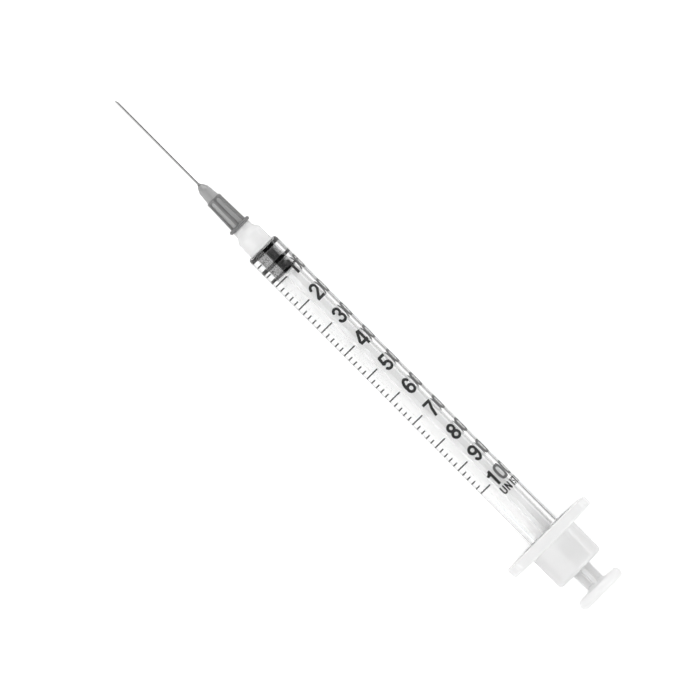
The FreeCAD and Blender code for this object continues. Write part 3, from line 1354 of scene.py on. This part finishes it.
@dataclass(frozen=True)
class Sector:
    """Part of the sky between two angles from the zenith, positive towards +Y.

    It lies near the plane across the syringe, or away from that plane where is_beside is true.
    The angles and their softness are in degrees.
    """

    start: float
    end: float
    half_width: float
    strength: float
    softness: float = 5.0
    feather: float = 0.2
    is_beside: bool = False

    def mask(self, turn: Wire, off_plane: Wire) -> Wire:
        """Share of the sector at a direction.

        Args:
            turn: The direction's angle about the X axis, in radians.
            off_plane: Size of the direction's X part.

        Returns:
            1 inside the sector and 0 outside.
        """
        soft = math.radians(self.softness)
        start, end = math.radians(self.start), math.radians(self.end)
        rise = turn.smooth_step(start - soft, start + soft)
        fall = turn.smooth_step(end - soft, end + soft)
        inner, outer = (self.half_width * (1 + side * self.feather) for side in (-1, 1))
        width = off_plane.smooth_step(inner, outer)
        return rise * (1.0 - fall) * (width if self.is_beside else 1.0 - width)


@dataclass
class Studio:
    """Floor, painted-shadow card, surroundings and camera.

    The floor's paper gives off a little light of its own towards some kinds of ray.
    """

    view_width: float = 123.48 * MM
    view_centre: Point2 = (22.77 * MM, -1.66 * MM)
    view_turn: float = math.radians(45.15)
    camera_height: float = 3.0
    clip: Point2 = (0.1, 20.0)
    sensor: float = 36.0
    floor_size: float = 6.0
    paper_level: float = 0.85
    camera_glow: float = 0.5
    glossy_glow: float = 0.3
    transmission_glow: float = 0.05
    # The grey card beside the barrel is painted shadow: it stands in for the syringe's contact
    # shadow on the floor.
    painted_shadow_reach: Point2 = (2.9 * MM, 6.0 * MM)
    painted_shadow_length: Point2 = (-1.0 * MM, 69.6 * MM)
    painted_shadow_height: float = 0.1 * MM
    painted_shadow_level: float = 0.5
    plain_level: float = 1.0
    base_level: float = 0.9
    gap: Sector = Sector(start=-4, end=76, half_width=0.26, strength=0.97)
    lights: tuple[Sector, ...] = (
        Sector(start=-84, end=-9, half_width=0.15, strength=2.0),
        Sector(start=72, end=104, half_width=0.15, strength=2.6),
        Sector(start=0, end=100, half_width=0.32, strength=2.6, is_beside=True),
    )

    @cached_property
    def resting_line(self) -> tuple[Vector, float]:
        """Line under the lying syringe, which touches its front and its flange.

        Returns:
            A point on the line, and its slope along X.
        """
        places = [vertex.co for vertex in frame["nodes"]["barrel"].data.vertices]
        back = min(places, key=lambda place: (round(place.z, 7), place.x))
        front = min((place for place in places if place.x < back.x - MM),
                    key=lambda place: (place.z - back.z) / (back.x - place.x))
        return Vector((front.x, 0, front.z)), math.atan2(back.z - front.z, back.x - front.x)

    def floor(self) -> None:
        """Builds the pale floor under the syringe."""
        point, slope = self.resting_line
        half = self.floor_size / 2
        corners = [(-half, -half, 0), (half, -half, 0), (half, half, 0), (-half, half, 0)]
        made = mesh_object("floor", corners, [(0, 1, 2, 3)])
        made.rotation_euler = (0, -slope, 0)
        made.location = point
        material, graph = new_material("floor_paper")
        seen = graph.ray(Ray.CAMERA) * self.camera_glow
        seen = seen + graph.ray(Ray.GLOSSY) * self.glossy_glow
        seen = seen + graph.ray(Ray.TRANSMISSION) * self.transmission_glow
        paper = graph.node("ShaderNodeBsdfDiffuse", {"Color": grey(self.paper_level)})
        glow = graph.node("ShaderNodeEmission", {"Color": grey(1.0), "Strength": seen})
        graph.finish(graph.node("ShaderNodeAddShader", {0: paper, 1: glow}))
        made.data.materials.append(material)

    def painted_shadow_card(self) -> None:
        """Builds a grey card beside the barrel as painted shadow, for the syringe's contact shadow
        on the floor; it is seen only in reflections and through plastic.
        """
        point, slope = self.resting_line
        corners = []
        for x, y in ((0, 0), (1, 0), (1, 1), (0, 1)):
            place = self.painted_shadow_length[x]
            height = point.z + math.tan(slope) * (place - point.x) + self.painted_shadow_height
            corners.append((place, self.painted_shadow_reach[y], height))
        made = mesh_object("painted_shadow_card", corners, [(0, 1, 2, 3)])
        material, graph = new_material("painted_shadow_grey")
        graph.finish(graph.node("ShaderNodeBsdfDiffuse", {"Color": grey(self.painted_shadow_level)}))
        made.data.materials.append(material)
        made.visible_camera = False
        made.visible_diffuse = False
        made.visible_shadow = False

    def world(self) -> None:
        """Builds plain surroundings, which reflections and clear plastic see with a pattern.

        The pattern is pale, with two strip lights, a fill beside them and a dark gap over the
        syringe.
        """
        world = bpy.data.worlds.new("studio")
        bpy.context.scene.world = world
        world.use_nodes = True
        graph = Graph(world.node_tree)
        vector = graph.node("ShaderNodeTexCoord", output="Generated")
        along, side, up = graph.split(vector)
        turn = graph.math("ARCTAN2", side, up)
        off_plane = graph.math("ABSOLUTE", along)
        level = (1.0 - self.gap.mask(turn, off_plane) * self.gap.strength) * self.base_level
        for light in self.lights:
            level = level + light.mask(turn, off_plane) * light.strength
        strength = self.plain_level + graph.ray(Ray.GLOSSY) * (level - self.plain_level)
        sky = graph.node("ShaderNodeBackground", {"Color": grey(1.0), "Strength": strength})
        graph.finish(sky, "ShaderNodeOutputWorld")

    def camera(self) -> None:
        """Sets a camera above the syringe, with the needle at the upper left."""
        data = bpy.data.cameras.new("camera")
        data.sensor_width = self.sensor
        data.lens = self.sensor * self.camera_height / self.view_width
        data.clip_start, data.clip_end = self.clip
        made = bpy.data.objects.new("camera", data)
        bpy.context.scene.collection.objects.link(made)
        made.location = (*self.view_centre, self.camera_height)
        made.rotation_euler = (0, 0, self.view_turn)
        bpy.context.scene.camera = made

    def build(self) -> None:
        """Builds the studio."""
        self.floor()
        self.painted_shadow_card()
        self.world()
        self.camera()
        bpy.context.scene.view_settings.view_transform = "Standard"


def main() -> None:
    """Builds the whole scene."""
    logging.basicConfig(level=logging.INFO, format="%(message)s")
    Studio().build()
    barrel = Barrel()
    barrel.build()
    Plunger(barrel).build()
    Needle().build()
    Scale(barrel).build()


if __name__ == "__main__":
    main()
